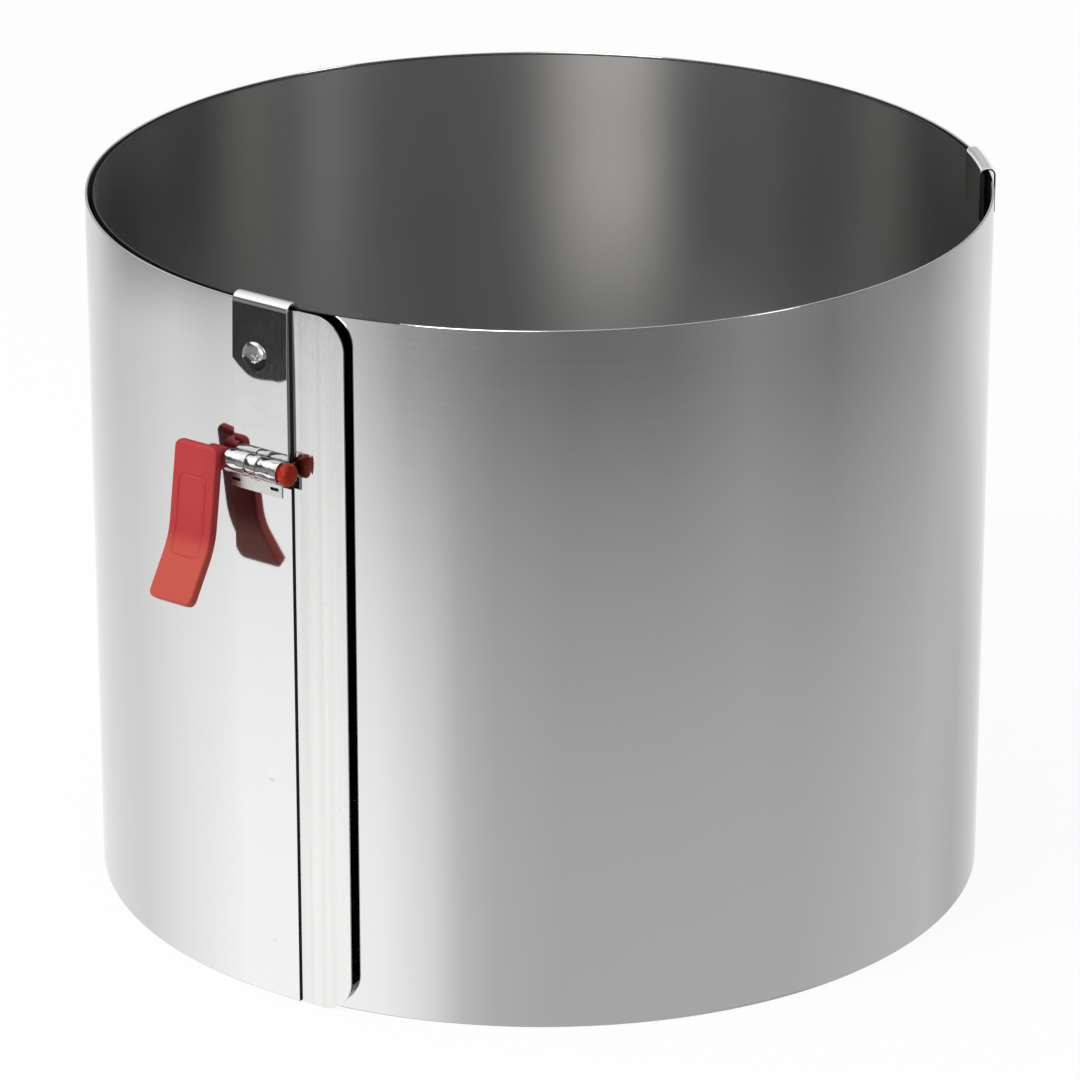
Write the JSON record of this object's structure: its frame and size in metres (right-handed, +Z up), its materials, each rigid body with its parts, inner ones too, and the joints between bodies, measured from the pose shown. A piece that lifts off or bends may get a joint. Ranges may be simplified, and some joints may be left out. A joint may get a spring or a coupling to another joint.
{
  "type": "cake ring",
  "caption": "Adjustable tall cake ring: a coiled stainless steel strip with a guide strip, a rim clip and a red lever clamp.",
  "frame": {"origin": "centre of the ring on the surface that it stands on", "axes": "+Z up along the ring axis, -Y the front, +X right"},
  "size_m": [0.1905, 0.1889, 0.1515],
  "materials": {
    "satin_steel": "satin",
    "polished_steel": "polished",
    "red_plastic": "matte"
  },
  "bodies": {
    "band_01": {"band_01": "satin_steel", "end_strip": "satin_steel", "clamp_strap": "polished_steel", "lower_leaf": "polished_steel", "strap_rivet": "polished_steel"},
    "band_02": {"band_02": "satin_steel"},
    "band_03": {"band_03": "satin_steel"},
    "band_04": {"band_04": "satin_steel"},
    "band_05": {"band_05": "satin_steel"},
    "band_06": {"band_06": "satin_steel"},
    "band_07": {"band_07": "satin_steel"},
    "band_08": {"band_08": "satin_steel"},
    "band_09": {"band_09": "satin_steel"},
    "band_10": {"band_10": "satin_steel"},
    "band_11": {"band_11": "satin_steel"},
    "band_12": {"band_12": "satin_steel"},
    "band_13": {"band_13": "satin_steel"},
    "band_14": {"band_14": "satin_steel"},
    "band_15": {"band_15": "satin_steel"},
    "band_16": {"band_16": "satin_steel"},
    "band_17": {"band_17": "satin_steel"},
    "band_18": {"band_18": "satin_steel"},
    "band_19": {"band_19": "satin_steel"},
    "band_20": {"band_20": "satin_steel"},
    "band_21": {"band_21": "satin_steel"},
    "band_22": {"band_22": "satin_steel"},
    "band_23": {"band_23": "satin_steel"},
    "band_24": {"band_24": "satin_steel"},
    "band_25": {"band_25": "satin_steel"},
    "band_26": {"band_26": "satin_steel"},
    "band_27": {"band_27": "satin_steel"},
    "band_28": {"band_28": "satin_steel"},
    "band_29": {"band_29": "satin_steel"},
    "band_30": {"band_30": "satin_steel", "rim_clip": "polished_steel"},
    "lever": {"lever": "red_plastic", "lever_cap": "red_plastic"}
  },
  "joints": [
    {"name": "bend_01", "type": "hinge", "parent": "band_02", "child": "band_01", "pos_m": [-0.07392, -0.06, 0.075], "axis": [0, 0, -1], "range_deg": [-3.32, 7.18]},
    {"name": "bend_02", "type": "hinge", "parent": "band_03", "child": "band_02", "pos_m": [-0.08977, -0.0317, 0.075], "axis": [0, 0, -1], "range_deg": [-3.33, 7.2]},
    {"name": "bend_03", "type": "hinge", "parent": "band_04", "child": "band_03", "pos_m": [-0.09518, 0.00028, 0.075], "axis": [0, 0, -1], "range_deg": [-3.34, 7.21]},
    {"name": "bend_04", "type": "hinge", "parent": "band_05", "child": "band_04", "pos_m": [-0.08952, 0.03222, 0.075], "axis": [0, 0, -1], "range_deg": [-3.34, 7.22]},
    {"name": "bend_05", "type": "hinge", "parent": "band_06", "child": "band_05", "pos_m": [-0.07343, 0.06038, 0.075], "axis": [0, 0, -1], "range_deg": [-3.35, 7.24]},
    {"name": "bend_06", "type": "hinge", "parent": "band_07", "child": "band_06", "pos_m": [-0.04878, 0.08148, 0.075], "axis": [0, 0, -1], "range_deg": [-3.36, 7.25]},
    {"name": "bend_07", "type": "hinge", "parent": "band_08", "child": "band_07", "pos_m": [-0.01847, 0.09302, 0.075], "axis": [0, 0, -1], "range_deg": [-3.36, 7.27]},
    {"name": "bend_08", "type": "hinge", "parent": "band_09", "child": "band_08", "pos_m": [0.01396, 0.09365, 0.075], "axis": [0, 0, -1], "range_deg": [-3.37, 7.28]},
    {"name": "bend_09", "type": "hinge", "parent": "band_10", "child": "band_09", "pos_m": [0.04469, 0.08328, 0.075], "axis": [0, 0, -1], "range_deg": [-3.38, 7.3]},
    {"name": "bend_10", "type": "hinge", "parent": "band_11", "child": "band_10", "pos_m": [0.0701, 0.06312, 0.075], "axis": [0, 0, -1], "range_deg": [-3.38, 7.31]},
    {"name": "ring_size", "type": "hinge", "parent": "band_12", "child": "band_11", "pos_m": [0.08719, 0.03555, 0.075], "axis": [0, 0, -1], "range_deg": [-3.38, 7.32]},
    {"name": "bend_12", "type": "hinge", "parent": "band_13", "child": "band_12", "pos_m": [0.09392, 0.00382, 0.075], "axis": [0, 0, -1], "range_deg": [-3.4, 7.34]},
    {"name": "bend_13", "type": "hinge", "parent": "band_14", "child": "band_13", "pos_m": [0.08949, -0.02831, 0.075], "axis": [0, 0, -1], "range_deg": [-3.4, 7.35]},
    {"name": "bend_14", "type": "hinge", "parent": "band_15", "child": "band_14", "pos_m": [0.07442, -0.05703, 0.075], "axis": [0, 0, -1], "range_deg": [-3.41, 7.37]},
    {"name": "bend_15", "type": "hinge", "parent": "band_16", "child": "band_15", "pos_m": [0.05049, -0.07891, 0.075], "axis": [0, 0, -1], "range_deg": [-3.42, 7.38]},
    {"name": "bend_16", "type": "hinge", "parent": "band_16", "child": "band_17", "pos_m": [0.02053, -0.09136, 0.075], "axis": [0, 0, 1], "range_deg": [-3.42, 7.4]},
    {"name": "bend_17", "type": "hinge", "parent": "band_17", "child": "band_18", "pos_m": [-0.01187, -0.09286, 0.075], "axis": [0, 0, 1], "range_deg": [-3.43, 7.41]},
    {"name": "bend_18", "type": "hinge", "parent": "band_18", "child": "band_19", "pos_m": [-0.04284, -0.08323, 0.075], "axis": [0, 0, 1], "range_deg": [-3.44, 7.43]},
    {"name": "bend_19", "type": "hinge", "parent": "band_19", "child": "band_20", "pos_m": [-0.06867, -0.06363, 0.075], "axis": [0, 0, 1], "range_deg": [-3.44, 7.44]},
    {"name": "bend_20", "type": "hinge", "parent": "band_20", "child": "band_21", "pos_m": [-0.08626, -0.03638, 0.075], "axis": [0, 0, 1], "range_deg": [-3.45, 7.45]},
    {"name": "bend_21", "type": "hinge", "parent": "band_21", "child": "band_22", "pos_m": [-0.09348, -0.00476, 0.075], "axis": [0, 0, 1], "range_deg": [-3.46, 7.47]},
    {"name": "bend_22", "type": "hinge", "parent": "band_22", "child": "band_23", "pos_m": [-0.08946, 0.02742, 0.075], "axis": [0, 0, 1], "range_deg": [-3.46, 7.48]},
    {"name": "bend_23", "type": "hinge", "parent": "band_23", "child": "band_24", "pos_m": [-0.07467, 0.05628, 0.075], "axis": [0, 0, 1], "range_deg": [-3.47, 7.5]},
    {"name": "bend_24", "type": "hinge", "parent": "band_24", "child": "band_25", "pos_m": [-0.05089, 0.07833, 0.075], "axis": [0, 0, 1], "range_deg": [-3.48, 7.51]},
    {"name": "bend_25", "type": "hinge", "parent": "band_25", "child": "band_26", "pos_m": [-0.02099, 0.09089, 0.075], "axis": [0, 0, 1], "range_deg": [-3.48, 7.53]},
    {"name": "bend_26", "type": "hinge", "parent": "band_26", "child": "band_27", "pos_m": [0.01141, 0.09243, 0.075], "axis": [0, 0, 1], "range_deg": [-3.49, 7.54]},
    {"name": "bend_27", "type": "hinge", "parent": "band_27", "child": "band_28", "pos_m": [0.04236, 0.08275, 0.075], "axis": [0, 0, 1], "range_deg": [-3.5, 7.55]},
    {"name": "bend_28", "type": "hinge", "parent": "band_28", "child": "band_29", "pos_m": [0.0681, 0.06303, 0.075], "axis": [0, 0, 1], "range_deg": [-3.5, 7.57]},
    {"name": "bend_29", "type": "hinge", "parent": "band_29", "child": "band_30", "pos_m": [0.08548, 0.03565, 0.075], "axis": [0, 0, 1], "range_deg": [-3.51, 7.58]},
    {"name": "clamp_lever", "type": "hinge", "parent": "band_01", "child": "lever", "pos_m": [-0.05715, -0.0794, 0.1166], "axis": [-0.7997, 0.6004, 0], "range_deg": [0, 66]}
  ],
  "couplings": [
    {"joint": "bend_01", "follows": "ring_size", "ratio": 0.98036},
    {"joint": "bend_02", "follows": "ring_size", "ratio": 0.98232},
    {"joint": "bend_03", "follows": "ring_size", "ratio": 0.98428},
    {"joint": "bend_04", "follows": "ring_size", "ratio": 0.98625},
    {"joint": "bend_05", "follows": "ring_size", "ratio": 0.98821},
    {"joint": "bend_06", "follows": "ring_size", "ratio": 0.99018},
    {"joint": "bend_07", "follows": "ring_size", "ratio": 0.99214},
    {"joint": "bend_08", "follows": "ring_size", "ratio": 0.99411},
    {"joint": "bend_09", "follows": "ring_size", "ratio": 0.99607},
    {"joint": "bend_10", "follows": "ring_size", "ratio": 0.99804},
    {"joint": "bend_12", "follows": "ring_size", "ratio": 1.002},
    {"joint": "bend_13", "follows": "ring_size", "ratio": 1.0039},
    {"joint": "bend_14", "follows": "ring_size", "ratio": 1.0059},
    {"joint": "bend_15", "follows": "ring_size", "ratio": 1.0079},
    {"joint": "bend_16", "follows": "ring_size", "ratio": 1.0098},
    {"joint": "bend_17", "follows": "ring_size", "ratio": 1.0118},
    {"joint": "bend_18", "follows": "ring_size", "ratio": 1.0137},
    {"joint": "bend_19", "follows": "ring_size", "ratio": 1.0157},
    {"joint": "bend_20", "follows": "ring_size", "ratio": 1.0177},
    {"joint": "bend_21", "follows": "ring_size", "ratio": 1.0196},
    {"joint": "bend_22", "follows": "ring_size", "ratio": 1.0216},
    {"joint": "bend_23", "follows": "ring_size", "ratio": 1.0236},
    {"joint": "bend_24", "follows": "ring_size", "ratio": 1.0255},
    {"joint": "bend_25", "follows": "ring_size", "ratio": 1.0275},
    {"joint": "bend_26", "follows": "ring_size", "ratio": 1.0295},
    {"joint": "bend_27", "follows": "ring_size", "ratio": 1.0314},
    {"joint": "bend_28", "follows": "ring_size", "ratio": 1.0334},
    {"joint": "bend_29", "follows": "ring_size", "ratio": 1.0354}
  ]
}
